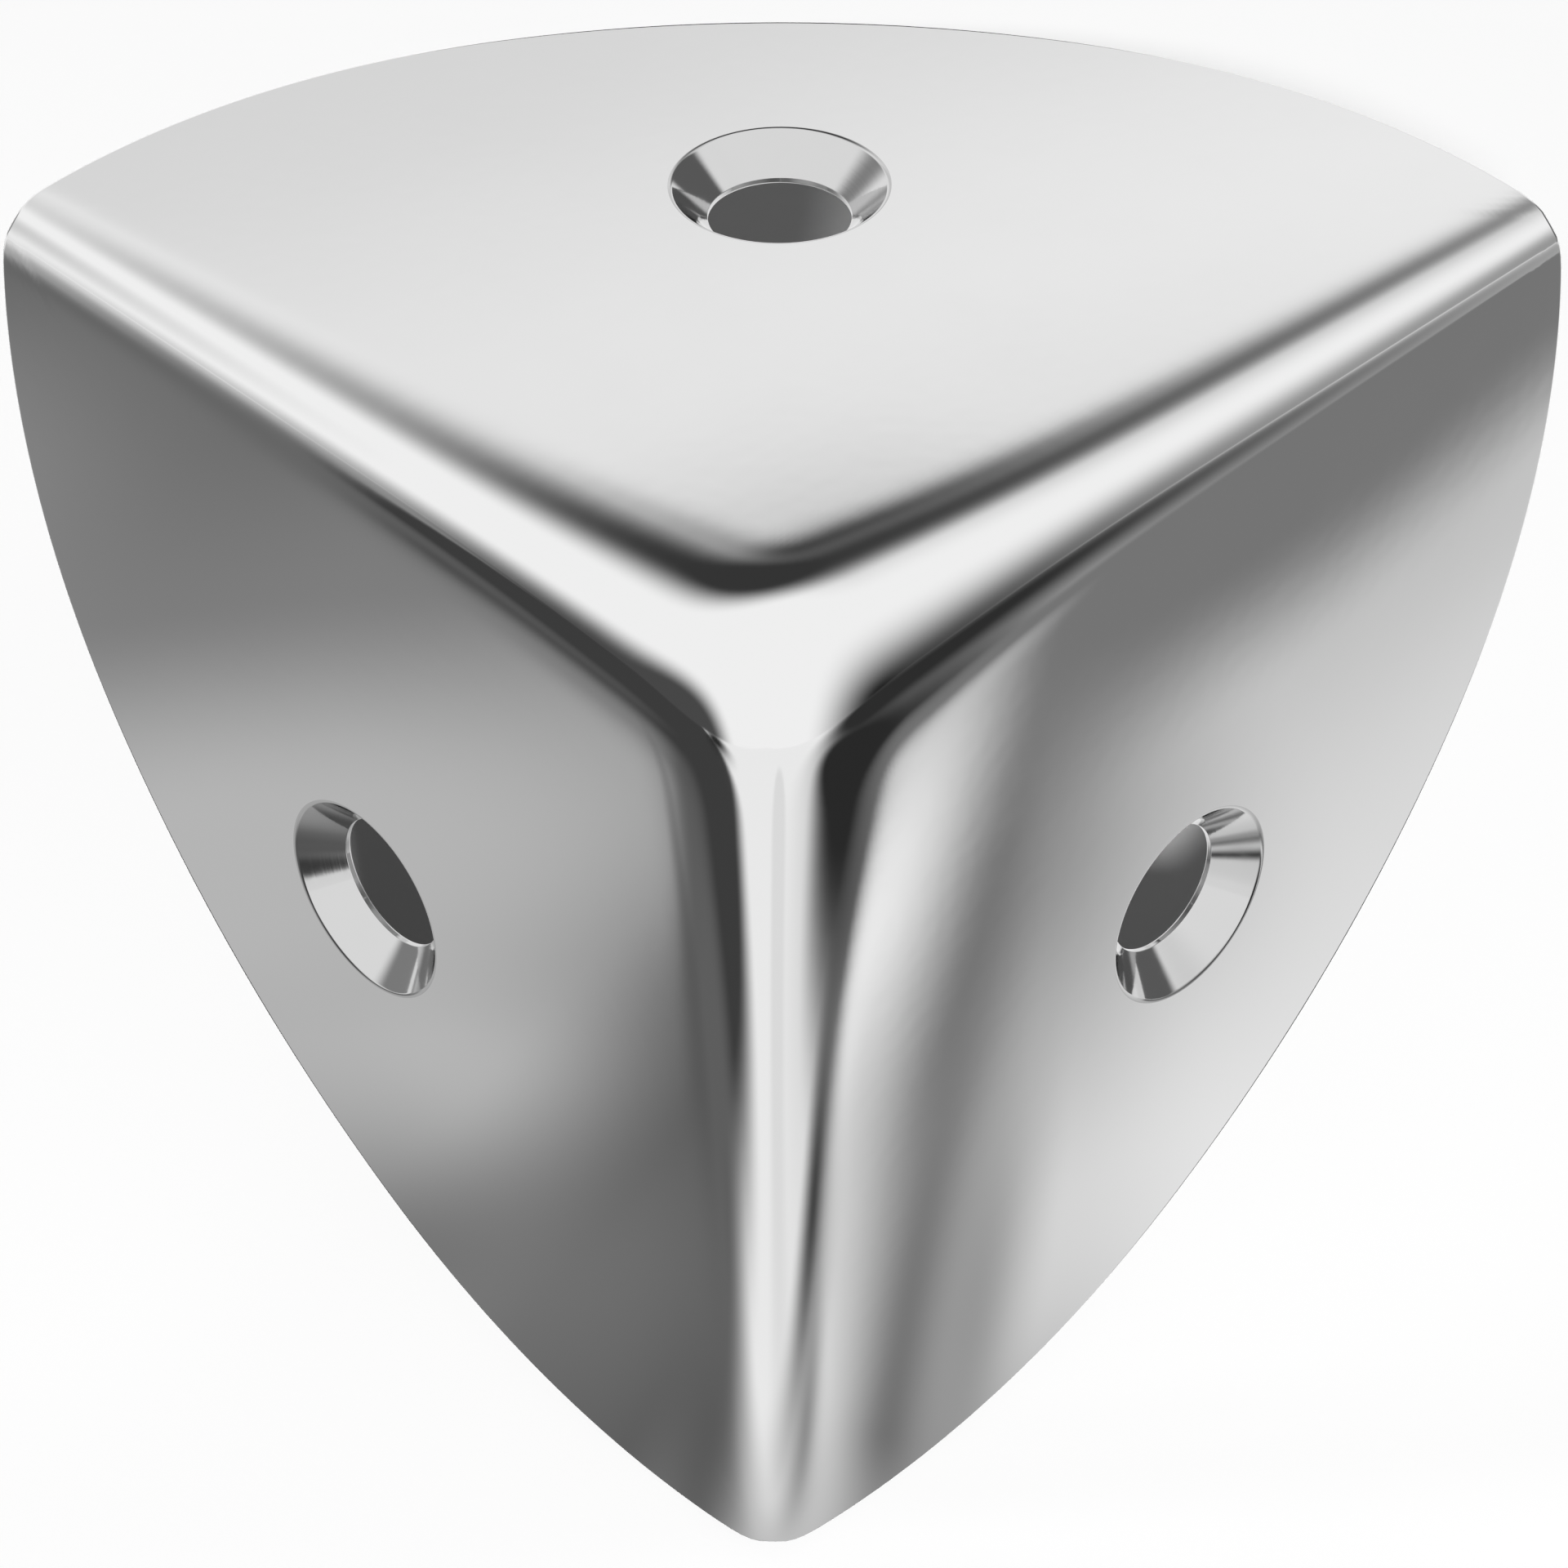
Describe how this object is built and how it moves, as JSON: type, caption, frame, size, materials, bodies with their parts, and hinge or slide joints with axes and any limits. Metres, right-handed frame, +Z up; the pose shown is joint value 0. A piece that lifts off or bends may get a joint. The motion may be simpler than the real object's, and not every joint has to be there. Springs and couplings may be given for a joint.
{
  "type": "case corner",
  "caption": "Pressed metal corner cap with three round flanges at right angles, each with a countersunk screw hole, that guards the corner of a case.",
  "frame": {"origin": "the case's own corner point, where the inner faces of the three flanges would meet if they were sharp", "axes": "+Z up, square to the top flange and pointing away from the case; the case fills +X, +Y and -Z, so the left flange faces -X and the right flange faces -Y"},
  "size_m": [0.0407, 0.0407, 0.0407],
  "materials": {
    "corner_shell": "pressed steel sheet, polished and bright chrome plated"
  },
  "bodies": {
    "root": {"corner_shell": "corner_shell"}
  },
  "joints": []
}
